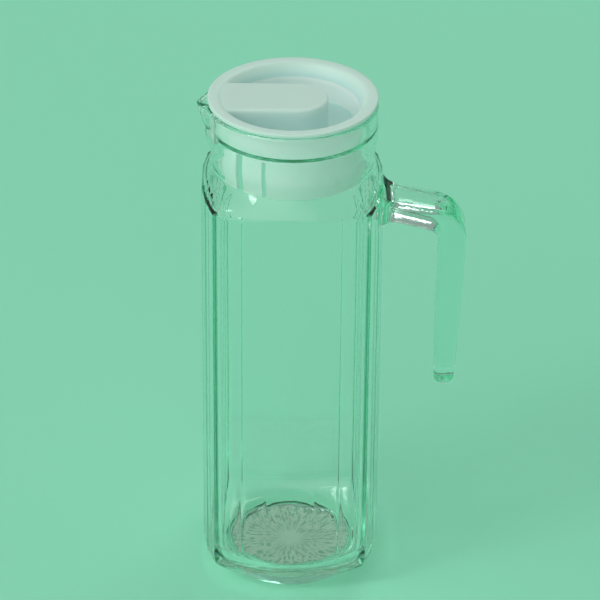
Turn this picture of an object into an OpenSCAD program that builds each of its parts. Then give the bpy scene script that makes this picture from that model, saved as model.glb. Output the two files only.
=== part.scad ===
// Tall glass water jug with a lift-out lid, for the door shelf of a fridge.
// The body is a bowed square in plan with faceted sides, the neck and foot are round.
// Origin: centre of the foot, on the jug's axis. +Z up, spout towards -X, handle towards +X.

/* [Body] */
// Width across two opposite faces of the body
body_w = 90.2; // [74:0.2:110]
// Width of the flat panel in the middle of each face, as a share of the body's width
panel_share = 0.26; // [0.2:0.01:0.3]
// Distance between the second ridges of a face, as a share of the body's width
ridge_share = 0.556; // [0.5:0.002:0.62]
// How far each face has fallen back at its second ridge, as a share of the body's width
ridge_fall = 0.0235; // [0.018:0.0005:0.032]
// How far the corner ridge lies inside the body's width, along both X and Y, as a share of it
corner_inset = 0.068; // [0.06:0.001:0.076]
// Radius of the corner ridge
corner_r = 4; // [2:0.5:6]
// Wall of the body
wall = 3.3; // [2.5:0.1:4.5]
// Radius of the corner inside the body
inner_corner_r = 9; // [6:0.5:12]

/* [Foot] */
// How far the round foot lies inside the middle of each face
foot_inset = 8.6; // [6:0.1:14]
// Height at which the faces start to turn in towards the foot
heel_h = 13; // [8:0.5:18]
// Thickness of the glass under the cavity
floor_t = 9.5; // [7:0.5:15]

/* [Neck and mouth] */
// Height of the shoulder, where the faces end
shoulder_h = 222.5; // [170:0.5:270]
// Height from the shoulder to the narrowest place of the neck
neck_rise = 10; // [8:0.5:16]
// How far the neck at its narrowest lies inside the middle of each face
neck_inset = 4.9; // [3:0.1:8]
// How far the collar stands out past the neck
collar_bulge = 2.1; // [1:0.1:3]
// Height from the neck to the top of the rim
collar_h = 33; // [27:0.5:44]
// Wall of the mouth, down to its ledge
mouth_wall = 3.7; // [3:0.1:4.5]
// Wall of the neck below the ledge
neck_wall = 3.6; // [3:0.1:4.5]
// Depth of the ledge below the rim
ledge_depth = 13.5; // [10:0.5:18]

/* [Spout] */
// Reach of the spout's tip past the collar
spout_reach = 5.3; // [3:0.1:8]
// Width of the spout where it leaves the collar
spout_w = 24; // [16:0.5:30]
// Depth of the spout's outside below the rim
spout_drop = 22; // [14:0.5:26]
// Width of the pouring groove
groove_w = 9; // [6:0.5:12]

/* [Handle] */
// Reach of the handle out from the body's face
handle_reach = 42.4; // [35:0.1:55]
// Width of the handle, along Y
handle_w = 24; // [18:0.5:28]
// Width of the handle at its free end
handle_end_w = 20; // [14:0.5:24]
// Thickness of the arm
arm_t = 12.6; // [9:0.1:15]
// Fall of the arm towards the grip, in degrees
arm_fall = 11; // [5:0.5:16]
// Depth of the arm's top below the shoulder, at the root
arm_drop = 7; // [5:0.5:14]
// Thickness of the grip at its top
grip_t = 13.8; // [10:0.1:16]
// Thickness of the grip at its free end
grip_end_t = 10.2; // [8:0.1:12]
// Length of the handle, from the arm's root to the free end
handle_h = 109; // [86:1:132]
// Radius of the outer bend
bend_r = 20; // [15:0.5:24]

/* [Lid] */
// How far the flange's edge lies inside the collar
flange_inset = 0.1; // [0:0.1:2]
// Thickness of the flange
flange_t = 2.2; // [1.6:0.1:3]
// Gap between the rim and the flange
lid_gap = 0.3; // [0.2:0.1:0.5]
// Gap all round between the plug and the neck
plug_gap = 2.4; // [1.6:0.1:3.5]
// Depth of the plug below the top of the lid
plug_h = 40; // [30:0.5:44]
// Wall of the lid moulding
lid_wall = 1.6; // [1.2:0.1:2.2]
// Depth of the dish in the lid
dish_h = 18; // [14:0.5:22]
// Width of the flange's ring round the dish
ring_w = 5.8; // [4.6:0.1:8]
// Depth of the funnel
funnel_h = 5; // [3:0.5:7]
// Width of the thumb grip across the dish
thumb_w = 29.5; // [24:0.5:34]
// Distance of the thumb grip's round end from the axis
thumb_end = 17.5; // [14:0.5:22]
// Depth of the thumb grip's top below the flange's top
thumb_drop = 0.5; // [0:0.1:2]
// Teeth of the strainer comb, which faces the spout
teeth = 5; // [3:2:7]
// Angle from one tooth to the next
tooth_pitch = 29; // [24:1:32]
// Angle that one tooth covers
tooth_angle = 21.5; // [16:0.5:22]
// Angle that the last tooth on each side covers
end_tooth_angle = 18; // [14:0.5:22]
// Angle of the slit beside each last tooth
slit_angle = 3; // [2:0.5:5]

/* [Hidden] */

skin = 0.2;                               // Thickness of the slices that a hull joins
step = 0.2;                               // Step where a faceted wall meets a true round one
over = 1;                                 // How far a cut runs past what it cuts
heel_curve = [[0.2, 5, 6], [0.5, 1.7, 3]]; // Share of the heel's height, inset and extra corner radius
floor_round = [7, 3];                     // Width and height of the round between floor and wall
inner_heel = [9, 16];                     // Heights above the floor at which the inside turns upright
bulge_h = 7.8;                            // Height over which the neck swells into the collar
tip_r = 2.2;                              // Radius of the pouring tip
lip_h = 5;                                // Height of the pouring lip's full width below the rim
ridge_w = 6;                              // Width of the spout's outside at its lowest point
groove_end_w = 3;                         // Width of the pouring groove at the tip
taper_h = 40;                             // Height below the shoulder from which the handle narrows
half_w = body_w / 2;
panel_half = panel_share * half_w;
ridge_half = ridge_share * half_w;
ridge_back = ridge_fall * body_w;
foot_r = half_w - foot_inset;
neck_r = half_w - neck_inset;
collar_r = neck_r + collar_bulge;
mouth_r = collar_r - mouth_wall;
throat_r = neck_r - neck_wall;
flange_r = collar_r - flange_inset;
dish_r = flange_r - ring_w;
grip_x = half_w + handle_reach;
neck_z = shoulder_h + neck_rise;
rim_z = neck_z + collar_h;
ledge_z = rim_z - ledge_depth;
lid_top = rim_z + lid_gap + flange_t;
plug_r = throat_r - plug_gap;
bore_r = plug_r - lid_wall;               // Inside of the plug
dish_z = lid_top - dish_h;                // Upper face of the dish's floor
slot_z = dish_z - lid_wall;               // Top of the strainer's slots
glass = [0.72, 0.90, 0.84, 0.45];
lid_white = [0.86, 0.92, 0.90];

// One side of the body's outline, walked clockwise along the face that looks to +Y
side = [
    [-ridge_half, half_w - ridge_back],
    [-panel_half, half_w],
    [panel_half, half_w],
    [ridge_half, half_w - ridge_back]
];
corner = (half_w - corner_inset * body_w) * [1, 1];
// Angle by which the last panel before a corner falls away from its face
last_fall = atan2(side[3][1] - corner[1], corner[0] - side[3][0]);

function turn(p, a) = [p[0] * cos(a) - p[1] * sin(a), p[0] * sin(a) + p[1] * cos(a)];

// Arc that rounds a corner ridge of which the walls lie d inside the outline
function corner_arc(d, r) =
    let (half = 45 - last_fall,
         reach = norm(corner) - d / cos(half) - r / cos(half),
         centre = reach * [cos(45), sin(45)])
    [for (i = [0:4]) centre + r * [cos(90 - last_fall - i * half / 2),
                                   sin(90 - last_fall - i * half / 2)]];

// The body's outline, with its walls moved in by d and its corners rounded by r
function outline(d, r) = [
    for (q = [0:3])
        for (p = concat([for (s = side) s - d * [sin(ridge_turn(s)), cos(ridge_turn(s))]],
                        corner_arc(d, r)))
            turn(p, -90 * q)
];
// Direction in which a ridge of the side moves when the walls move in
function ridge_turn(s) = sign(s[0]) * last_fall * (abs(s[0]) > panel_half ? 1 : 0.5);

module slice(z, d, r, h = skin) {
    translate([0, 0, z]) linear_extrude(h) polygon(outline(d, r));
}

module disc(z, r) {
    translate([0, 0, z]) cylinder(h = skin, r = r, $fn = 48);
}

// Outside of the body, from the foot to the neck
module body_outside() {
    hull() {
        disc(0, foot_r);
        for (h = heel_curve) slice(heel_h * h[0], h[1], corner_r + h[2]);
        slice(heel_h, 0, corner_r, shoulder_h - heel_h);
        disc(neck_z - skin, neck_r - step);
    }
}

// Space inside the body, from the floor to the throat
module body_inside() {
    wall_z = floor_t + inner_heel[1];
    hull() {
        disc(floor_t, foot_r - floor_round[0]);
        disc(floor_t + floor_round[1], foot_r);
        slice(floor_t + inner_heel[0], wall + 1, inner_corner_r);
        slice(wall_z, wall, inner_corner_r, shoulder_h - wall / 2 - wall_z);
        disc(neck_z, throat_r + step);
    }
}

// Round collar above the neck, with its bulge and its fire-polished rim
module collar() {
    rim_r = mouth_wall / 2;
    rotate_extrude($fn = 96) {
        polygon([
            [0, neck_z - over],
            [neck_r, neck_z - over],
            for (i = [0:6]) [neck_r + collar_bulge * (1 - cos(i * 30)) / 2, neck_z + i * bulge_h / 6],
            [collar_r, rim_z - rim_r],
            [0, rim_z - rim_r]
        ]);
        translate([0, rim_z - rim_r - skin]) square([collar_r - rim_r, rim_r + skin]);
        translate([collar_r - rim_r, rim_z - rim_r]) circle(r = rim_r, $fn = 32);
    }
}

// Bore through neck and mouth, with the ledge that steadies the lid
module mouth_bore() {
    low_z = neck_z - 2 * over;
    rotate_extrude($fn = 96) polygon([
        [0, low_z],
        [throat_r, low_z],
        [throat_r, ledge_z - 2 * over],
        [mouth_r, ledge_z],
        [mouth_r, rim_z + over],
        [0, rim_z + over]
    ]);
}

// Outside of the pouring lip
module spout_outside() {
    hull() {
        translate([tip_r - collar_r - spout_reach, 0, rim_z - lip_h + over])
            cylinder(h = lip_h - 2 * over, r = tip_r, $fn = 32);
        translate([mouth_wall - collar_r - over, -spout_w / 2, rim_z - lip_h])
            cube([over, spout_w, lip_h - over]);
        translate([mouth_wall - collar_r - 2 * over, -ridge_w / 2, rim_z - spout_drop])
            cube([over, ridge_w, over]);
    }
}

// Groove that the water runs out through, from low inside the mouth to just under the rim at the tip
module spout_groove() {
    start = [groove_w / 3 - mouth_r, 0, rim_z - 2 * over];
    end = [-collar_r - spout_reach, 0, rim_z + over];
    rise = [0, 0, 10 * over];
    hull() {
        for (p = [start, start + rise]) translate(p) sphere(d = groove_w, $fn = 32);
        for (p = [end, end + rise]) translate(p) sphere(d = groove_end_w, $fn = 16);
    }
}

module jug_body() {
    color(glass) difference() {
        union() {
            body_outside();
            collar();
            spout_outside();
        }
        body_inside();
        mouth_bore();
        spout_groove();
    }
}

// Side view of the handle: arm, bend and grip, in X and Z
module handle_side() {
    root_z = shoulder_h - arm_drop;
    fall = tan(arm_fall);
    lean = grip_t - grip_end_t;                   // The outer face leans in by this much
    bend = [grip_x - bend_r, root_z - (grip_x - bend_r - half_w) * fall - bend_r / cos(arm_fall)];
    inner_x = grip_x - grip_t;
    end_r = grip_end_t / 2;
    end = [grip_x - lean - end_r, root_z - handle_h + end_r];
    polygon([
        [half_w, root_z - arm_t / cos(arm_fall)],
        [half_w, root_z],
        for (i = [0:8]) bend + bend_r * [cos(90 - arm_fall - i * (90 - arm_fall) / 8),
                                         sin(90 - arm_fall - i * (90 - arm_fall) / 8)],
        for (i = [0:8]) end + end_r * [cos(i * 22.5), -sin(i * 22.5)],
        [inner_x, root_z - arm_t / cos(arm_fall) - (inner_x - half_w) * fall]
    ]);
}

// Front view of the handle: it narrows towards a round free end
module handle_front() {
    end_z = shoulder_h - arm_drop - handle_h;
    end_r = handle_end_w / 2;
    polygon([
        [-handle_w / 2, shoulder_h],
        [handle_w / 2, shoulder_h],
        [handle_w / 2, shoulder_h - taper_h],
        for (i = [0:8]) [end_r * cos(i * 22.5), end_z + end_r - end_r * sin(i * 22.5)],
        [-handle_w / 2, shoulder_h - taper_h]
    ]);
}

module handle() {
    color(glass) intersection() {
        translate([0, handle_w / 2 + over, 0]) rotate([90, 0, 0])
            linear_extrude(handle_w + 2 * over) handle_side();
        rotate([90, 0, 90]) linear_extrude(grip_x + over) handle_front();
    }
}

// Plan of the thumb grip, moved in by d
module thumb_plan(d) {
    r = thumb_w / 2 - d;
    translate([thumb_end - thumb_w / 2, 0]) circle(r = r, $fn = 64);
    translate([-dish_r, -r]) square([thumb_end - thumb_w / 2 + dish_r, 2 * r]);
}

// One slot through the plug's wall, open below, that covers an angle about the direction a
module slot(a, angle) {
    slot_w = 2 * plug_r * sin(angle / 2);
    rotate([0, 0, a]) translate([bore_r - over, -slot_w / 2, lid_top - plug_h - over])
        cube([lid_wall + 2 * over, slot_w, slot_z - lid_top + plug_h + over]);
}

// Slots of the strainer comb, which faces the spout: one between each two teeth, and a slit at each end
module strainer_slots() {
    gap = tooth_pitch - tooth_angle;
    last = (teeth - 2) / 2 * tooth_pitch;
    for (i = [0:teeth - 2]) slot(180 - last + i * tooth_pitch, gap);
    for (side_of = [-1, 1])
        slot(180 + side_of * (last + gap / 2 + end_tooth_angle + slit_angle / 2), slit_angle);
}

// Flange, plug and the flare between them, all solid
module lid_outside() {
    flange_z = lid_top - flange_t;
    flare_r = dish_r + lid_wall / 2;
    translate([0, 0, flange_z]) cylinder(h = flange_t, r = flange_r, $fn = 128);
    rotate_extrude($fn = 128) polygon([
        [0, lid_top - plug_h],
        [plug_r, lid_top - plug_h],
        [plug_r, flange_z - funnel_h],
        [flare_r, flange_z],
        [flare_r, flange_z + flange_t / 2],
        [0, flange_z + flange_t / 2]
    ]);
}

// Dish with its funnel, all round the thumb grip
module dish() {
    difference() {
        rotate_extrude($fn = 128) polygon([
            [0, dish_z],
            [bore_r, dish_z],
            [bore_r, lid_top - funnel_h],
            [dish_r, lid_top],
            [dish_r, lid_top + over],
            [0, lid_top + over]
        ]);
        translate([0, 0, dish_z - over])
            linear_extrude(dish_h + over - thumb_drop) thumb_plan(0);
    }
}

// Hollow underside of the plug and of the thumb grip
module underside() {
    translate([0, 0, lid_top - plug_h - over])
        cylinder(h = slot_z - lid_top + plug_h + over, r = bore_r, $fn = 128);
    intersection() {
        translate([0, 0, slot_z - over])
            linear_extrude(dish_h + over - thumb_drop) thumb_plan(lid_wall);
        translate([0, 0, slot_z - over]) cylinder(h = dish_h + over, r = bore_r, $fn = 128);
    }
}

module lid() {
    color(lid_white) difference() {
        lid_outside();
        dish();
        underside();
        strainer_slots();
    }
}

jug_body();
handle();
lid();
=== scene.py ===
# %% [markdown]
# # A tall glass water jug with a lift-out lid
# This jug is two things on a table: one piece of pressed glass, handle and all, and one
# white plastic lid that is lifted out by its thumb grip. The part was designed in CAD, and
# here it gets its looks. Shapes are worked out in millimetres, because that is how the jug
# was measured, and turned into metres when they become a mesh. Materials, lights and camera
# are in metres. The jug stands on z = 0 with its axis along z, its lip towards -x and its
# handle towards +x.

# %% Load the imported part
import math
import bmesh
import bpy
import numpy as np
from mathutils import Matrix, Vector


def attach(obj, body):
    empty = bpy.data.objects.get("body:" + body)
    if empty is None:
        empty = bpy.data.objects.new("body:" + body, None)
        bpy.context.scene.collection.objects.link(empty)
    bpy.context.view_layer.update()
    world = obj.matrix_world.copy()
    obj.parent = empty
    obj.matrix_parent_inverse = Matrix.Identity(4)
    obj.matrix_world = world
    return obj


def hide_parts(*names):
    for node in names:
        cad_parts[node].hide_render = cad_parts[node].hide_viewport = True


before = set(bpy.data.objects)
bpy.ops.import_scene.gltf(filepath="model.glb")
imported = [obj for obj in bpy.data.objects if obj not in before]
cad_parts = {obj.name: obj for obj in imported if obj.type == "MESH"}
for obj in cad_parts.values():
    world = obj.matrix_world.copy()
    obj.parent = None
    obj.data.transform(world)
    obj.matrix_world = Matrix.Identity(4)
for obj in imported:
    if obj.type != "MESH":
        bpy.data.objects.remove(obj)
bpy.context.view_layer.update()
MM = 0.001

# %% [markdown]
# ## A mesh from rings
# Both pieces are closed surfaces. Each could be modelled by hand from a cylinder, but then
# its sizes would be hard to hold. Here each is worked out as rows of points, one ring after
# another, and the two ends are closed by a single point each. One helper turns such rows
# into a mesh, so that no seam or pole is left open.

# %% Rings to mesh
def ring_mesh(name, rings, first_pole, last_pole):
    """A closed mesh from an array of rings (rows, points in a ring, xyz) in millimetres and
    its two poles. A face joins point j of row i to j + 1 of row i and to the same two
    points of row i + 1, and each pole joins its nearest ring as a fan."""
    rows, count, _ = rings.shape
    i, j = np.meshgrid(np.arange(rows - 1), np.arange(count), indexing="ij")
    k = (j + 1) % count
    quads = np.stack([i * count + j, i * count + k, (i + 1) * count + k, (i + 1) * count + j], -1)
    around = np.arange(count)
    after = (around + 1) % count
    last = (rows - 1) * count
    start = np.stack([np.full(count, rows * count), after, around], -1)
    stop = np.stack([last + around, last + after, np.full(count, rows * count + 1)], -1)
    points = np.vstack([rings.reshape(-1, 3), [first_pole, last_pole]]) * MM
    faces = quads.reshape(-1, 4).tolist() + start.tolist() + stop.tolist()
    return solid(name, points, faces)


def solid(name, points, faces):
    """A smooth-shaded object at the origin from points in metres and faces."""
    mesh = bpy.data.meshes.new(name)
    mesh.from_pydata(points, [], faces)
    mesh.shade_smooth()
    piece = bpy.data.objects.new(name, mesh)
    bpy.context.scene.collection.objects.link(piece)
    return piece


def triangles(piece):
    """How many triangles a piece has: two fewer than its corners for each face."""
    return sum(len(face.vertices) - 2 for face in piece.data.polygons)

# %% [markdown]
# ## Two curves
# A soft step leads from 0 to 1 without a corner, for a shape that swells. A Bezier curve
# leaves one point towards a second and arrives at the last one from its neighbour, which
# is how a heel or a rounded edge runs.

# %% Soft step and Bezier curve
def smooth(t):
    """A soft step: 3 t squared minus 2 t cubed, flat at both ends, for t held in 0 to 1."""
    t = np.clip(t, 0.0, 1.0)
    return t * t * (3 - 2 * t)


def curve(t, *points):
    """A Bezier curve: neighbours are mixed as (1 - t) times the one plus t times the next,
    over and over, until a single point is left."""
    while len(points) > 1:
        points = [(1 - t) * one + t * other for one, other in zip(points, points[1:])]
    return points[0]

# %% [markdown]
# ## Join and cut
# The handle is joined to the body, and the slots are cut in the lid, by booleans: Blender
# works one out as a modifier, and the result is copied into the piece at once, so that the
# finished mesh stands by itself. A boolean can leave slivers without any width where two
# cuts nearly meet, so there is also a helper that clears them away.

# %% Boolean and clean-up
def boolean(piece, tool, operation):
    """The piece after a boolean with the tool, which is then thrown away."""
    change = piece.modifiers.new("boolean", "BOOLEAN")
    change.operation = operation
    change.solver = "EXACT"
    change.object = tool
    graph = bpy.context.evaluated_depsgraph_get()
    result = bpy.data.meshes.new_from_object(piece.evaluated_get(graph))
    piece.modifiers.clear()
    old, piece.data = piece.data, result
    result.name = piece.name
    bpy.data.meshes.remove(old)
    bpy.data.objects.remove(tool)
    return piece


def clean(piece, gap):
    """The piece with points closer than the gap made one, the slivers that a cut leaves
    between them dissolved, and the pinholes behind them closed."""
    work = bmesh.new()
    work.from_mesh(piece.data)
    bmesh.ops.remove_doubles(work, verts=work.verts, dist=gap)
    bmesh.ops.dissolve_degenerate(work, edges=work.edges, dist=gap)
    bmesh.ops.triangulate(work, faces=[face for face in work.faces if len(face.verts) > 4])
    bmesh.ops.holes_fill(work, edges=work.edges, sides=4)
    print(piece.name, "open edges left:", sum(not edge.is_manifold for edge in work.edges))
    work.to_mesh(piece.data)
    work.free()

# %% [markdown]
# ## The plan of the body
# Seen from above, the body is a square whose sides bow outwards in five flat panels, with
# a crisp ridge between each two and a rounder one at each corner. It could be drawn as a
# polygon and bevelled. Here each panel is a straight line, which in polar form is its
# distance from the axis divided by the cosine of the angle to its normal. The outline
# follows whichever line is nearest, and a power mean in place of the plain minimum rounds
# each ridge a little, as fire polishing does.

# %% The bowed square
HALF = 45.1
RIDGES = np.array([[11.7, 45.1], [25.1, 43.0], [39.1, 39.1]])
QUARTER = math.pi / 2
ridge_turn = np.arctan2(RIDGES[:, 0], RIDGES[:, 1])
ridge_at = np.concatenate([q * QUARTER + s * ridge_turn for q in range(4) for s in (-1, 1)])


def panel_lines(inset):
    """Direction and distance from the axis of the five panels of one side, moved in."""
    run = np.diff(RIDGES, axis=0)
    falls = np.arctan2(-run[:, 1], run[:, 0])
    away = RIDGES[:2, 0] * np.sin(falls) + RIDGES[:2, 1] * np.cos(falls)
    turns = np.concatenate([-falls[::-1], [0.0], falls])
    reach = np.concatenate([away[::-1], [HALF], away])
    return turns, reach - inset


def bowed_radius(theta, inset, crisp, corner_crisp):
    """Distance of the outline from the axis in each direction: one over the power mean of
    the nearness of each panel, first over the five panels of a side and then over the four
    sides. A higher power leaves a crisper ridge."""
    turns, reach = panel_lines(inset)
    sides = np.arange(4) * QUARTER
    off = theta[:, None, None] - sides[None, :, None] - turns[None, None, :]
    near = np.clip(np.cos(off), 1e-3, None) / reach
    top = near.max(axis=2, keepdims=True)
    side = top[..., 0] * ((near / top) ** crisp).sum(axis=2) ** (1 / crisp)
    top = side.max(axis=1, keepdims=True)
    mean = top[:, 0] * ((side / top) ** corner_crisp).sum(axis=1) ** (1 / corner_crisp)
    return 1 / mean


def ridge_beads(theta, height, width):
    """The thin bead that stands along each ridge where the mould's panels meet: a bell curve
    of the given height and width about each ridge's direction, the corners' as well."""
    off = (theta[:, None] - ridge_at + math.pi) % (2 * math.pi) - math.pi
    return height * np.exp(-(off * HALF / width) ** 2).max(axis=1)


print("ridges at degrees from each side's middle:", np.degrees(ridge_turn).round(1))

# %% [markdown]
# ## Directions round the jug
# Every ring has its points in the same directions. They crowd together at the ridges, where
# the surface turns, and spread out over the flat panels, where nothing happens. The spout
# gets its own crowd. The outside is held to the square that the jug fits in.

# %% Directions, outer and inner outline
CLOSEST = math.radians(0.14)
crowd = np.radians([-2.4, -1.2, -0.6, -0.3, 0, 0.3, 0.6, 1.2, 2.4])
even = np.radians(np.arange(0, 360, 3.0))
spout = np.radians(180 + np.arange(-27, 27.1, 1.0))
at_ridges = (ridge_at[:, None] + crowd).ravel() % (2 * math.pi)
theta = np.sort(np.concatenate([at_ridges, even, spout]))
theta = theta[np.concatenate([[True], np.diff(theta) > CLOSEST])]

square_room = HALF / np.maximum(np.abs(np.cos(theta)), np.abs(np.sin(theta)))
beaded = bowed_radius(theta, inset=0.0, crisp=300, corner_crisp=80) \
    + ridge_beads(theta, height=0.30, width=0.8)
R_out = np.minimum(beaded, square_room)
R_in = bowed_radius(theta, inset=3.4, crisp=60, corner_crisp=22)
print("points in a ring:", len(theta), "radius", R_out.min().round(2), "to", R_out.max().round(2))

# %% [markdown]
# ## Up the outside
# The jug is one closed skin. It starts under the middle of the foot, runs out to the ring
# that it stands on, turns up the heel and climbs the panels. It could be a solid that is
# hollowed by a boolean, but one skin from the foot over the rim to the inside floor needs
# no cut and has no seam. The heel is a Bezier curve that leaves the round foot flat and
# ends upright on the panels, a little higher at the corners, where it has further to go.

# %% Foot, heel and panels
def rings(radius, height):
    """Rings of points from radius and height arrays of (rows, directions)."""
    radius, height = np.broadcast_arrays(radius, height)
    return np.stack([radius * np.cos(theta), radius * np.sin(theta), height], -1)


FOOT_R, FOOT_EDGE, RECESS = 36.6, 0.3, 0.55
PANEL_TOP = 216.0
flat = np.ones(len(theta))
under_r = np.linspace(1.5, 33.0, 30)[:, None]
under = rings(under_r * flat, RECESS * flat)
stand_r = np.array([33.4, 33.9, 34.5, 35.1, 35.8, 36.2])[:, None]
stand_z = np.array([0.52, 0.42, 0.22, 0.05, 0.0, 0.10])[:, None]
stand = rings(stand_r * flat, stand_z * flat)

t = np.linspace(0, 1, 18)[:, None]
heel_z = 11.0 + 0.32 * (R_out - HALF)
turn_z = heel_z + 3.0
low_r = 0.48 * FOOT_R + 0.52 * R_out
heel = rings(curve(t, FOOT_R, low_r, R_out, R_out),
             curve(t, FOOT_EDGE, 0.52 * heel_z, 0.97 * heel_z, turn_z))
climb = np.linspace(0, 1, 22)[1:, None]
panels = rings(R_out * np.ones_like(climb), turn_z + (PANEL_TOP - turn_z) * climb)
print("heel ends", turn_z.min().round(1), "to", turn_z.max().round(1), "mm above the table")

# %% [markdown]
# ## Shoulder, neck and collar
# Above the panels the plan turns from the bowed square into a circle. At each height the
# radius is a mix of the two, and the share of the square falls slowly at first and then
# fast, which gives the full, rounded shoulder. The collar swells out above the neck again.

# %% Shoulder, neck and collar
NECK_R, COLLAR_R, MOUTH_R, THROAT_R = 40.2, 42.3, 38.6, 36.6
SHOULDER_Z, SHOULDER_H = 221.8, 9.6
COLLAR_Z, COLLAR_H, RIM_Z = 233.0, 15.0, 265.5
z = np.linspace(217.0, 232.5, 34)[:, None]
square = (1 - np.clip((z - SHOULDER_Z) / SHOULDER_H, 0, 1) ** 1.12) ** 1.25
shoulder = rings(square * R_out + (1 - square) * NECK_R, z)
z = np.linspace(233.2, 262.8, 30)[:, None]
collar_r = NECK_R + (COLLAR_R - NECK_R) * smooth((z - COLLAR_Z) / COLLAR_H)
collar = rings(collar_r * flat, z * flat)
print("collar radius", collar_r.min().round(2), "to", collar_r.max().round(2))

# %% [markdown]
# ## Over the rim and down the inside
# The rim is fire-polished to a half circle. Inside the mouth the bore steps in at a ledge,
# then opens under the neck into a rounder version of the same bowed square, and ends in a
# round floor that is much thicker than the walls, which is what keeps the jug upright.

# %% Rim, mouth and inside
LEDGE_Z, LEDGE_H = 254.0, 3.2
FLOOR_R, FLOOR_Z, FLOOR_DISH = 33.5, 9.2, 0.7
INNER_TURN_Z = 24.0
rim_half = (COLLAR_R - MOUTH_R) / 2
turn = np.linspace(0, math.pi, 15)[:, None]
rim = rings((MOUTH_R + rim_half + rim_half * np.cos(turn)) * flat,
            (RIM_Z - rim_half + rim_half * np.sin(turn)) * flat)
z = np.concatenate([np.linspace(262.6, 254.2, 7), np.linspace(253.8, 250.8, 9),
                    np.linspace(249, 234, 8)])[:, None]
mouth = rings((MOUTH_R - (MOUTH_R - THROAT_R) * smooth((LEDGE_Z - z) / LEDGE_H)) * flat, z * flat)
z = np.linspace(233.0, 217.0, 24)[:, None]
square = smooth((231.5 - z) / 12.5)
under_shoulder = rings(square * R_in + (1 - square) * THROAT_R, z)
z = np.linspace(214.0, INNER_TURN_Z, 14)[:, None]
inner_wall = rings(R_in * np.ones_like(z), z)
t = np.linspace(0, 1, 20)[1:, None]
inner_heel = rings(curve(t, R_in, 0.55 * R_in + 18.5, FLOOR_R),
                   curve(t, INNER_TURN_Z, 10.6, FLOOR_Z + FLOOR_DISH) * flat)
r = np.linspace(32.0, 1.5, 14)[:, None]
floor = rings(r * flat, (FLOOR_Z + FLOOR_DISH * (r / FLOOR_R) ** 2) * flat)
glass = np.concatenate([under, stand, heel, panels, shoulder, collar, rim, mouth,
                        under_shoulder, inner_wall, inner_heel, floor])
print("rows, points in a ring, xyz:", glass.shape)

# %% [markdown]
# ## The pouring lip
# The lip is drawn out of the hot rim with a tool, so the same pull is given to every point
# near the spout: outwards along the radius, fading sideways as a bell curve and growing
# from nothing low on the collar to its full reach at the rim. Inside, the bell is narrower,
# which leaves the little groove that the water runs along.

# %% Draw out the lip
LIP_REACH, LIP_START, LIP_RISE, LIP_DROOP = 5.3, 240.0, 24.0, 0.4
LIP_WIDTH, GROOVE_WIDTH = 10.5, 7.3
BORE_R, TIP_Z = 30.0, 255.0


def draw_lip(points):
    """Points pushed out from the axis by reach x bell(angle from the spout) x height share
    to a power, and let down a little at the very tip."""
    x, y, z = points[..., 0], points[..., 1], points[..., 2]
    radius = np.hypot(x, y)
    away = np.degrees(np.arctan2(y, -x))
    inside = smooth((COLLAR_R - radius) / (COLLAR_R - MOUTH_R))
    width = LIP_WIDTH - (LIP_WIDTH - GROOVE_WIDTH) * inside
    bell = np.exp(-np.abs(away / width) ** 1.6)
    grow = np.clip((z - LIP_START) / LIP_RISE, 0, 1) ** 1.5 * (radius > BORE_R)
    push = (LIP_REACH - 0.2 * inside) * bell * grow
    scale = 1 + push / np.maximum(radius, 1)
    return np.stack([x * scale, y * scale, z - LIP_DROOP * bell * grow * (z > TIP_Z)], -1)


glass = draw_lip(glass)
jug = ring_mesh("jug", glass, (0, 0, RECESS), (0, 0, FLOOR_Z))
print("lip reaches", round(glass[..., 0].min(), 2), "mm")

# %% [markdown]
# ## The lines of the handle
# The handle is open at its lower end: an arm leaves the shoulder, falls a little, bends
# and runs down as a flat grip that thins towards a round end. A curve object with a bevel
# could carry a profile along one path, but its outer bend is wide while its inner corner is
# tight. So the handle is given by two lines in its own plane, the upper and the lower, and
# each ring of its skin spans the two.

# %% Upper and lower line of the handle
def arc(centre, radius, start, stop, count):
    """Points on a circle in the plane of the handle, from one angle to another."""
    a = np.radians(np.linspace(start, stop, count))
    return np.stack([centre[0] + radius * np.cos(a), centre[1] + radius * np.sin(a)], -1)


def straight(a, b, count):
    """Points on a straight line between two points, without the first and the last."""
    return np.linspace(a, b, count + 2)[1:-1]


def handle_line(root, bend, grip):
    """The root, a straight arm to the bend, the bend, and straight runs down the grip."""
    runs = [root[None], straight(root, bend[0], 26), bend]
    for start, stop in zip([bend[-1], *grip], grip):
        runs += [straight(start, stop, 6), stop[None]]
    return np.concatenate(runs)


upper = handle_line(np.array([43.6, 215.3]), arc((67.3, 190.5), 20.0, 79, 3, 22),
                    np.array([[86.2, 166.0], [84.6, 134.0], [83.2, 111.0]]))
lower = handle_line(np.array([43.6, 204.5]), arc((67.6, 192.4), 5.6, 77, 3, 22),
                    np.array([[73.1, 166.0], [72.9, 134.0], [72.8, 111.0]]))
print("handle rings:", len(upper), "outermost", upper[:, 0].max().round(2), "mm")

# %% [markdown]
# ## The skin of the handle
# The profile is a rectangle with rounded corners, 24 mm wide on the arm. It flares out
# where it meets the body, narrows down the grip, and shrinks to nothing over the last five
# millimetres by the circle's own rule, which rounds the end. Then it is joined to the
# body, because glass that was pressed in one has no seam.

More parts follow.
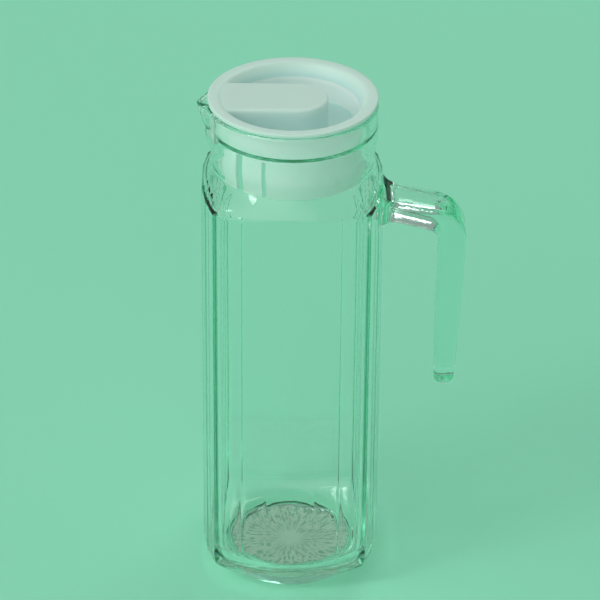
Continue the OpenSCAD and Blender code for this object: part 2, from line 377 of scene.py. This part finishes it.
# %% Carry the profile along
BODY_FACE, FLARE_FADE, FLARE_THICK, FLARE_WIDE = 44.9, 2.6, 3.6, 2.6
ARM_HALF, GRIP_NARROWER, GRIP_TOP, GRIP_RUN = 12.0, 2.0, 182.0, 76.0
END_RUN = np.array([-0.1, -4.9])
EDGE = 3.0
tip = np.linspace(0, 1, 12)[1:-1, None]
shrink = np.sqrt(1 - tip ** 2)
middle = np.concatenate([(upper + lower) / 2, (upper[-1] + lower[-1]) / 2 + END_RUN * tip])
half = np.concatenate([(upper - lower) / 2, (upper[-1] - lower[-1]) / 2 * shrink])
thick = np.hypot(half[:, 0], half[:, 1])
normal = half / thick[:, None]
flare = np.exp(-np.clip(middle[:, 0] - BODY_FACE, 0, None) / FLARE_FADE)
thick = thick + FLARE_THICK * flare
down = np.clip((GRIP_TOP - middle[:, 1]) / GRIP_RUN, 0, 1)
wide = ARM_HALF - GRIP_NARROWER * down + FLARE_WIDE * flare
wide[-len(tip):] = wide[-len(tip) - 1] * (0.45 + 0.55 * shrink[:, 0])

a = np.concatenate([np.linspace(0, QUARTER, 8) + q * QUARTER for q in range(4)])
sign_c = np.repeat([1.0, -1.0, -1.0, 1.0], 8)
sign_s = np.repeat([1.0, 1.0, -1.0, -1.0], 8)
edge = np.minimum(EDGE, 0.72 * thick)[:, None]
across = sign_c * (thick[:, None] - edge) + edge * np.cos(a)
side = sign_s * (wide[:, None] - edge) + edge * np.sin(a)
skin = np.stack([middle[:, 0, None] + normal[:, 0, None] * across, -side,
                 middle[:, 1, None] + normal[:, 1, None] * across], -1)
handle = ring_mesh("handle_blank", skin, (upper[0, 0], 0, middle[0, 1]),
                   (middle[-1, 0], 0, middle[-1, 1] - 0.5))
jug = boolean(jug, handle, "UNION")
jug.data.shade_smooth()
print("jug triangles:", triangles(jug))

# %% [markdown]
# ## The lid
# The lid is one moulding: a thin flange over the rim, a funnel down to a dish, and a plug
# that hangs in the neck. Its section is turned round the axis, as a Screw modifier would,
# but worked out here so that each corner can have its own small radius. The list of corners
# runs from the middle of the dish up the funnel, over the flange, down the outside of the
# plug and back up inside it.

# %% Section of the lid
def rounded(points, radius, steps=5):
    """A closed section whose corners are rounded: each corner becomes a curve that leaves
    one edge and joins the next, both at the given radius from the corner or less."""
    p = np.array(points, float)
    before, after = np.roll(p, 1, 0) - p, np.roll(p, -1, 0) - p
    lb, la = np.hypot(*before.T), np.hypot(*after.T)
    cut = np.minimum(np.broadcast_to(radius, lb.shape), np.minimum(lb, la) * 0.45)
    s, e = p + before * (cut / lb)[:, None], p + after * (cut / la)[:, None]
    t = np.linspace(0, 1, steps)[None, :, None]
    return curve(t, s[:, None], p[:, None], e[:, None]).reshape(-1, 2)


LID_TOP, FLANGE_R, DISH_R, PLUG_R, WALL = 268.0, 42.2, 36.4, 34.2, 1.6
DISH_Z, PLUG_Z = 250.0, 228.0
FLANGE_T, SEAT_R, SEAT_DROP, FUNNEL_DROP, HUB_R = 2.2, 37.2, 7.2, 5.6, 1.0
corners = [
    (HUB_R, DISH_Z - WALL, 0), (HUB_R, DISH_Z, 0), (PLUG_R - WALL, DISH_Z, 1.6),
    (PLUG_R - WALL, LID_TOP - FUNNEL_DROP, 3.0), (DISH_R, LID_TOP, 1.6),
    (FLANGE_R, LID_TOP, 0.8), (FLANGE_R, LID_TOP - FLANGE_T, 0.7),
    (SEAT_R, LID_TOP - FLANGE_T, 1.2), (PLUG_R, LID_TOP - SEAT_DROP, 3.0),
    (PLUG_R - 0.1, PLUG_Z, 0.5), (PLUG_R - WALL, PLUG_Z, 0.5),
    (PLUG_R - WALL, DISH_Z - WALL, 1.4)]
section = rounded([corner[:2] for corner in corners], np.array([corner[2] for corner in corners]))
section = section[section[:, 0] > HUB_R + 0.001]
spin = np.radians(np.arange(0, 360, 2.5))
turned = np.stack([section[:, 0, None] * np.cos(-spin), section[:, 0, None] * np.sin(-spin),
                   np.broadcast_to(section[:, 1, None], (len(section), len(spin)))], -1)
lid = ring_mesh("lid_moulding", turned, (0, 0, DISH_Z), (0, 0, DISH_Z - WALL))
print("lid section points:", len(section))

# %% [markdown]
# ## The thumb grip
# A bar with one round end stands in the dish, level with the flange. It is hollow from
# below, as every moulding of one wall is, so it is made twice: the bar is joined to the
# lid, and a smaller one, held inside the plug's wall by a drum, is taken away again. A
# bevelled box would do for the straight end, but not for the round one. The bar itself is
# not held in by a drum, and that is a known fault: its square back end stands a few
# millimetres out of the plug's wall under the flange, and into the glass.

# %% Thumb grip
END_R, END_X = 14.75, 2.75
BACK_X, BACK_FLAT_X, SPINE_X = -37.8, -37.0, -23.0


def thumb_bar(name, inset, low, high, edge):
    """A bar with one round end, from its plan and its side: rings of the plan, each moved in
    as the rounded top edge asks, from the low height to the high one."""
    a = np.radians(np.linspace(-90, 90, 25))
    plan = np.concatenate([np.stack([END_X + END_R * np.cos(a), END_R * np.sin(a)], -1),
                           np.stack([np.linspace(0, BACK_FLAT_X, 14), np.full(14, END_R)], -1),
                           np.stack([np.full(7, BACK_X), np.linspace(13, -13, 7)], -1),
                           np.stack([np.linspace(BACK_FLAT_X, 0, 14), np.full(14, -END_R)], -1)])
    centre = np.stack([np.clip(plan[:, 0], SPINE_X, END_X), np.zeros(len(plan))], -1)
    away = plan - centre
    long = np.where(plan[:, 0] > END_X, np.hypot(*away.T), np.abs(away).max(axis=1))
    q = np.linspace(0, QUARTER, 7)
    moved = np.concatenate([np.full(8, 0.0), edge * (1 - np.cos(q[1:])), [3, 6, 9, 12]]) + inset
    heights = np.concatenate([np.linspace(low, high - edge, 8), high - edge + edge * np.sin(q[1:]),
                              np.full(4, high)])
    scale = 1 - moved[:, None] / long
    xy = centre[None] + away[None] * scale[..., None]
    z = np.broadcast_to(heights[:, None, None], xy.shape[:2] + (1,))
    return ring_mesh(name, np.concatenate([xy, z], -1), (-10, 0, low), (-10, 0, high))


bar = thumb_bar("thumb_bar", inset=0.0, low=DISH_Z - 0.8, high=LID_TOP - 0.5, edge=1.3)
hollow = thumb_bar("thumb_hollow", inset=WALL, low=DISH_Z - 4.0, high=LID_TOP - 2.3, edge=0.8)
TRIM_R = 32.4
drum = np.stack([np.stack([TRIM_R * np.cos(-spin), TRIM_R * np.sin(-spin),
                           np.full(len(spin), level)], -1) for level in (270.0, 240.0)])
trim = ring_mesh("trim", drum, (0, 0, 270.0), (0, 0, 240.0))
lid = boolean(lid, bar, "UNION")
hollow = boolean(hollow, trim, "INTERSECT")
lid = boolean(lid, hollow, "DIFFERENCE")
print("lid triangles with the grip:", triangles(lid))

# %% [markdown]
# ## The strainer
# On the side of the spout the plug is cut into a comb, which holds back ice and lemon. Each
# slot is cut by a block that reaches through the plug's wall only and stops below the dish.
# Four slots are wide, and the two at the ends are narrow slits.

# %% Strainer slots
def block(name, turn, low, high):
    """A block with its place in its mesh: low and high corners, then turned about the axis."""
    c = np.array([[x, y, z] for z in (low[2], high[2])
                  for x, y in ((low[0], low[1]), (high[0], low[1]),
                               (high[0], high[1]), (low[0], high[1]))])
    co, si = math.cos(turn), math.sin(turn)
    c = np.stack([c[:, 0] * co - c[:, 1] * si, c[:, 0] * si + c[:, 1] * co, c[:, 2]], -1) * MM
    return solid(name, c, [(3, 2, 1, 0), (4, 5, 6, 7), (0, 1, 5, 4),
                           (1, 2, 6, 5), (2, 3, 7, 6), (3, 0, 4, 7)])


SLOT_INNER, SLOT_OUTER, SLOT_LOW, SLOT_TOP = 30.0, 36.5, 220.0, 248.2
WIDE_SLOT, SLIT = 7.5, 3.5
slots = [(-43.5, WIDE_SLOT), (-14.5, WIDE_SLOT), (14.5, WIDE_SLOT), (43.5, WIDE_SLOT),
         (-67.0, SLIT), (67.0, SLIT)]
for at, angle in slots:
    half_w = PLUG_R * math.sin(math.radians(angle / 2))
    cutter = block("slot", math.radians(180 + at), (SLOT_INNER, -half_w, SLOT_LOW),
                   (SLOT_OUTER, half_w, SLOT_TOP))
    lid = boolean(lid, cutter, "DIFFERENCE")
clean(lid, gap=0.00002)
lid.data.shade_smooth()
lid.data.set_sharp_from_angle(angle=math.radians(38))
print("lid triangles:", triangles(lid))

# %% [markdown]
# ## Writing materials as sums
# A material is a small calculation. These two classes let us write it as one: a Wire is a
# socket that can be added and multiplied, and a Finish is the node tree of one material, or
# of the sky, to which nodes are added by a single method.

# %% Wires and finishes
class Wire:
    """A socket on which Python's arithmetic adds Math nodes."""

    def __init__(self, finish, socket):
        self.finish, self.socket = finish, socket

    def sum(self, operation, other, swap=False):
        pair = (other, self) if swap else (self, other)
        return self.finish.node("Math", {"operation": operation}, {0: pair[0], 1: pair[1]})

    def __add__(self, other):
        return self.sum("ADD", other)

    def __sub__(self, other):
        return self.sum("SUBTRACT", other)

    def __rsub__(self, other):
        return self.sum("SUBTRACT", other, swap=True)

    def __mul__(self, other):
        return self.sum("MULTIPLY", other)

    __radd__, __rmul__ = __add__, __mul__


class Finish:
    """The nodes of a material or a world, and the one method that adds a node."""

    def __init__(self, owner):
        owner.use_nodes = True
        self.owner, self.tree = owner, owner.node_tree
        self.tree.nodes.clear()

    def node(self, kind, settings=None, inputs=None, output=0):
        """A new node: its settings first, a ramp's stops among them, then its inputs."""
        made = self.tree.nodes.new("ShaderNode" + kind)
        for name, value in (settings or {}).items():
            if name == "stops":
                for spot, (position, colour) in zip(made.color_ramp.elements, value):
                    spot.position, spot.color = position, colour
            else:
                setattr(made, name, value)
        for name, value in (inputs or {}).items():
            if isinstance(value, Wire):
                self.tree.links.new(value.socket, made.inputs[name])
            else:
                made.inputs[name].default_value = value
        return Wire(self, made.outputs[output])

    def place(self):
        """Object coordinates, and the three numbers in them."""
        spot = self.node("TexCoord", output=3)
        apart = self.node("SeparateXYZ", inputs={0: spot})
        return spot, [Wire(self, number) for number in apart.socket.node.outputs]

    def reach(self, x, y):
        """Distance from the axis."""
        flat_place = self.node("CombineXYZ", inputs={0: x, 1: y})
        return self.node("VectorMath", {"operation": "LENGTH"}, {0: flat_place}, output=1)

    def step(self, value, start, stop):
        """A soft step of a value, from 0 at start to 1 at stop."""
        return self.node("MapRange", {"interpolation_type": "SMOOTHSTEP"},
                         {"Value": value, "From Min": start, "From Max": stop})

    def noise(self, place, scale, detail=2.0, rough=0.5):
        return self.node("TexNoise", inputs={"Vector": place, "Scale": scale, "Detail": detail,
                                             "Roughness": rough})

    def mix(self, share, first, second):
        """A colour between two, the first where the share is 0 and the second where it is 1."""
        return self.node("Mix", {"data_type": "RGBA"}, {0: share, 6: first, 7: second}, output=2)

    def end(self, surface, volume=None, kind="OutputMaterial"):
        """The output node, and with it the finished material or world."""
        made = self.tree.nodes.new("ShaderNode" + kind)
        self.tree.links.new(surface.socket, made.inputs["Surface"])
        if volume:
            self.tree.links.new(volume.socket, made.inputs["Volume"])
        return self.owner

# %% [markdown]
# ## Clear pressed glass
# Pressed glass is never optically flat: its skin has slow waves from the mould, drawn out
# along the height. The top and underside of the arm and the underside of the foot are
# stippled, so that the hand holds and the foot doesn't show scratches. Under the foot the
# stipple lies in rays that fade towards a smooth middle. Water-clear as it looks, soda-lime
# glass is green where we look along it, which a volume that absorbs a little red gives by
# itself. A stippled face scatters light as a ground one does, so the foot gets a second
# finish that lets less light straight through, and part of its ray pattern is painted a
# darker tone, as painted shade.

# %% Glass
WHITE = (1.0, 1.0, 1.0, 1.0)
ARM_SLOPE = 0.194


def glass_finish(name, clear, tones=None):
    """Bump height is the waves, plus grain on the arm, plus rays and grain under the foot.
    The arm's two stippled faces are where z + slope x is above its upper line or below
    its lower one. With two tones, the second is painted shade on part of the foot's ray pattern."""
    f = Finish(bpy.data.materials.new(name))
    spot, (x, y, z) = f.place()
    reach = f.reach(x, y)
    waves = f.noise(spot, 55.0, 1.0) * 0.8
    drawn_out = f.node("Mapping", inputs={"Vector": spot, "Scale": (120.0, 120.0, 9.0)})
    long_waves = f.noise(drawn_out, 1.0, 1.0)

    arm = f.step(x, 0.0465, 0.0485) * (1 - f.step(x, 0.0715, 0.0735)) * f.step(z, 0.190, 0.194)
    line = z + x * ARM_SLOPE
    top_face = f.step(line, 0.2222, 0.2228)
    under_face = 1 - f.step(line, 0.2130, 0.2142)
    arm_mask = arm * (top_face * 0.3 + under_face)
    stipple = f.node("TexVoronoi", {"feature": "F1"}, {"Vector": spot, "Scale": 620.0})

    foot = (1 - f.step(z, 0.0006, 0.0012)) * (1 - f.step(reach, 0.0300, 0.0325))
    off_middle = f.step(reach, 0.004, 0.014)
    grain = f.noise(spot, 900.0, 2.0)
    angle = f.node("Math", {"operation": "ARCTAN2"}, {0: y, 1: x})
    fan = f.node("CombineXYZ", inputs={0: angle * 14.0, 1: reach * 160.0})
    rays = f.noise(fan, 1.0, 2.0)

    height = waves * 0.05 + long_waves * 0.035 + arm_mask * stipple * 0.07 \
        + foot * (rays * 2.2 * off_middle + grain * 0.4)
    bump = f.node("Bump", inputs={"Strength": 1.0, "Distance": 0.001, "Height": height})
    roughness = foot * 0.36 + arm_mask * 0.02 + 0.004 + f.noise(spot, 30.0) * 0.012
    colour = WHITE
    if tones:
        # Painted shade: part of the ray pattern under the foot gets the darker second tone.
        painted_shade_in_rays = foot * (0.25 + 0.75 * off_middle) * f.step(rays, 0.50, 0.62)
        colour = f.mix(painted_shade_in_rays, *tones)
    surface = f.node("BsdfPrincipled", inputs={
        "Base Color": colour, "Roughness": roughness, "IOR": 1.52,
        "Transmission Weight": clear, "Normal": bump})
    volume = f.node("VolumeAbsorption", inputs={"Color": (0.35, 0.95, 0.74, 1.0), "Density": 13.0})
    return f.end(surface, volume)


jug.data.materials.clear()
jug.data.materials.append(glass_finish("clear_pressed_glass", 1.0))
# The second of the foot's two tones, the darker one, is painted shade.
jug.data.materials.append(glass_finish("stippled_foot_glass", 0.2, (
    (1.0, 0.93, 0.88, 1.0), (0.45, 0.56, 0.46, 1.0))))
centres = np.empty(len(jug.data.polygons) * 3)
jug.data.polygons.foreach_get("center", centres)
centres = centres.reshape(-1, 3)
bearing = np.arctan2(centres[:, 1], centres[:, 0])
ragged = 0.0305 + 0.0011 * np.sin(7 * bearing + 1.0) + 0.0009 * np.sin(17 * bearing)
stippled = (centres[:, 2] < 0.0007) & (np.hypot(centres[:, 0], centres[:, 1]) < ragged)
jug.data.polygons.foreach_set("material_index", stippled.astype(np.int32))
print("stippled faces under the foot:", int(stippled.sum()))

# %% [markdown]
# ## White lid plastic
# The lid is soft polyethylene, milky rather than white: light goes into it and comes out
# again a little further on, so its shadows are never quite dark. Its skin has the fine
# spark texture of the mould, a little more worn on the flange and the thumb grip. The thin
# wall of the plug lets more light through than the doubled parts above it, and that light
# is painted into its colour as a paler tone. The dish below the flange is painted darker
# and bluer, as painted shade.

# %% Lid plastic
def lid_finish():
    """The tone runs with height from a darker, bluer one in the dish, painted shade, to the
    flange's. On the plug's outside it is a paler one, painted light, and it is clouded a
    little everywhere."""
    f = Finish(bpy.data.materials.new("milky_lid_plastic"))
    spot, (x, y, z) = f.place()
    cloud = f.noise(spot, 40.0, 3.0)
    rubbed = f.step(z, 0.2585, 0.2672) * f.step(f.noise(spot, 180.0, 4.0, 0.6), 0.5, 0.72)
    # Painted light: the plug's outside, lit through its thin wall, gets a paler tone.
    painted_light_on_plug = f.step(f.reach(x, y), 0.0322, 0.0327) * (1 - f.step(z, 0.2612, 0.2622))
    # Painted shade: below the flange and down into the dish the tone is darker and bluer.
    above = f.mix(f.step(z, 0.262, 0.2672), (0.58, 0.78, 0.77, 1), (0.66, 0.84, 0.78, 1))
    tone = f.mix(1 - painted_light_on_plug, (0.94, 0.98, 0.97, 1), above)
    clouded = f.mix(cloud * 0.12, tone, (0.60, 0.74, 0.70, 1))
    spark = f.noise(spot, 1500.0, 2.0) * 0.03 + f.noise(spot, 90.0, 2.0) * 0.06
    bump = f.node("Bump", inputs={"Strength": 0.6, "Distance": 0.001, "Height": spark})
    roughness = 0.36 + cloud * 0.08 + rubbed * 0.06
    surface = f.node("BsdfPrincipled", inputs={
        "Base Color": clouded, "Roughness": roughness, "IOR": 1.5, "Normal": bump,
        "Subsurface Weight": 0.6, "Subsurface Radius": (1.0, 1.0, 1.0),
        "Subsurface Scale": 0.008})
    return f.end(surface)


lid.data.materials.clear()
lid.data.materials.append(lid_finish())
print("materials:", [m.name for m in (*jug.data.materials, *lid.data.materials)])

# %% [markdown]
# ## Hang the pieces on the frame
# The glass stands for two CAD nodes, because body and handle are pressed as one. The lid
# rides on its own body, so it lifts out when the joint moves.

# %% Ride
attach(jug, "jug")
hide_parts("jug_body", "handle")
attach(lid, "lid")
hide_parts("lid")
print("pieces:", jug.name, "on jug,", lid.name, "on lid")

# %% [markdown]
# ## The table
# Glass shows nothing but its surroundings, so these matter more than usual. A pale green
# sheet of paper runs far out to all sides, with a fine fibre in its colour and relief.

# %% Table
def paper_finish():
    """Two close greens, mixed by a fine noise that also lifts the surface."""
    f = Finish(bpy.data.materials.new("pale_paper"))
    spot, _ = f.place()
    fibre = f.noise(spot, 900.0, 3.0)
    tone = f.mix(fibre * 0.5, (0.315, 0.80, 0.565, 1), (0.325, 0.815, 0.58, 1))
    bump = f.node("Bump", inputs={"Strength": 0.1, "Distance": 0.0002, "Height": fibre})
    return f.end(f.node("BsdfPrincipled", inputs={
        "Base Color": tone, "Roughness": 0.9, "Normal": bump, "Specular IOR Level": 0.1}))


PAPER_R, HUB, PAPER_UNDER, PAPER_TOP = 9000.0, 10.0, -5.0, -0.05
a = np.linspace(0, 2 * math.pi, 97)[:-1]
sheet = np.stack([np.stack([r * np.cos(a), r * np.sin(a), np.full(len(a), level)], -1)
                  for r, level in ((HUB, PAPER_UNDER), (PAPER_R, PAPER_UNDER),
                                   (PAPER_R, PAPER_TOP), (HUB, PAPER_TOP))])
paper = ring_mesh("paper", sheet, (0, 0, PAPER_UNDER), (0, 0, PAPER_TOP))
paper.data.materials.append(paper_finish())
print("paper reaches", PAPER_R * MM, "m")

# %% [markdown]
# ## The light
# Most of the light comes from the sky: it is white overhead, green at the horizon, and
# brighter in a broad patch at the front left, as by a big window. Two small soft panels add
# the highlights. The green lines on the ridges hardly change with the horizon's colour.
# They are light that has run along inside the wall, and the step on light paths sees to it.

# %% Light
HORIZON, OVERHEAD = (0.003, 0.48, 0.21, 1), (0.92, 1.0, 0.96, 1)
bpy.context.scene.world = bpy.data.worlds.new("studio")
sky = Finish(bpy.context.scene.world)
direction = sky.node("TexCoord", output=0)
up = sky.node("SeparateXYZ", inputs={0: direction}, output=2)
shade = sky.node("ValToRGB", {"stops": [(0.0, HORIZON), (1.0, OVERHEAD)]},
                 {0: sky.step(up, 0.0, 0.14)})
lean = sky.node("VectorMath", {"operation": "DOT_PRODUCT"},
                {0: direction, 1: (-0.70, -0.65, 0.30)}, output=1)
strength = 0.335 + sky.step(lean, 0.30, 0.97) * 1.05
sky.end(sky.node("Background", inputs={"Color": shade, "Strength": strength}), kind="OutputWorld")


def soft_panel(name, place, size, power):
    """A rectangular light at a place, turned to the middle of the jug."""
    lamp = bpy.data.lights.new(name, "AREA")
    lamp.shape, lamp.size, lamp.size_y = "RECTANGLE", size[0], size[1]
    lamp.energy, lamp.color = power, (0.93, 1.0, 0.96)
    holder = bpy.data.objects.new(name, lamp)
    bpy.context.scene.collection.objects.link(holder)
    holder.location = place
    middle_of_jug = Vector((0, 0, 0.13))
    holder.rotation_euler = (middle_of_jug - Vector(place)).to_track_quat("-Z", "Y").to_euler()


soft_panel("key_panel", place=(-1.55, -1.0, 1.9), size=(0.6, 0.7), power=8)
soft_panel("back_panel", place=(0.9, 1.9, 2.2), size=(1.6, 1.0), power=14)

# %% [markdown]
# ## The camera
# A long lens from almost two metres keeps the sides of the jug nearly parallel. It looks
# along +y and down, and is turned a little about its own line of sight.

# %% Camera
def aim_camera(target, distance, pitch, roll, focal):
    """Camera at a given distance from its target, looking down by the pitch and turned about
    its own line of sight by the roll."""
    forward = Vector((0, math.cos(pitch), -math.sin(pitch)))
    right, above = Vector((1, 0, 0)), Vector((0, math.sin(pitch), math.cos(pitch)))
    side = math.cos(roll) * right + math.sin(roll) * above
    top = -math.sin(roll) * right + math.cos(roll) * above
    lens = bpy.data.cameras.new("camera")
    lens.sensor_width, lens.lens = 36.0, focal
    lens.clip_start, lens.clip_end = 0.05, 50.0
    holder = bpy.data.objects.new("camera", lens)
    bpy.context.scene.collection.objects.link(holder)
    turn = Matrix((side, top, -forward)).transposed().to_4x4()
    holder.matrix_world = Matrix.Translation(target - distance * forward) @ turn
    bpy.context.scene.camera = holder


aim_camera(target=Vector((0.00422, 0.0, 0.1511)), distance=1.7804, pitch=math.radians(30.62),
           roll=math.radians(0.47), focal=210.0)
print("camera at", [round(x, 3) for x in bpy.context.scene.camera.matrix_world.translation])

# %% [markdown]
# ## How light is followed
# Light runs a long way inside a glass wall before it leaves it, so it is followed through
# more bounces than usual, or the ridges turn black. Sharp glass is kept sharp: filtering
# glossy paths would cost the light that comes to the plug and the foot through the walls.

# %% Light paths
scene = bpy.context.scene
scene.view_settings.view_transform = "Standard"
scene.cycles.max_bounces = 40
scene.cycles.glossy_bounces = 20
scene.cycles.transmission_bounces = 24
scene.cycles.blur_glossy = 0.0
print("bounces:", scene.cycles.max_bounces, "view:", scene.view_settings.view_transform)
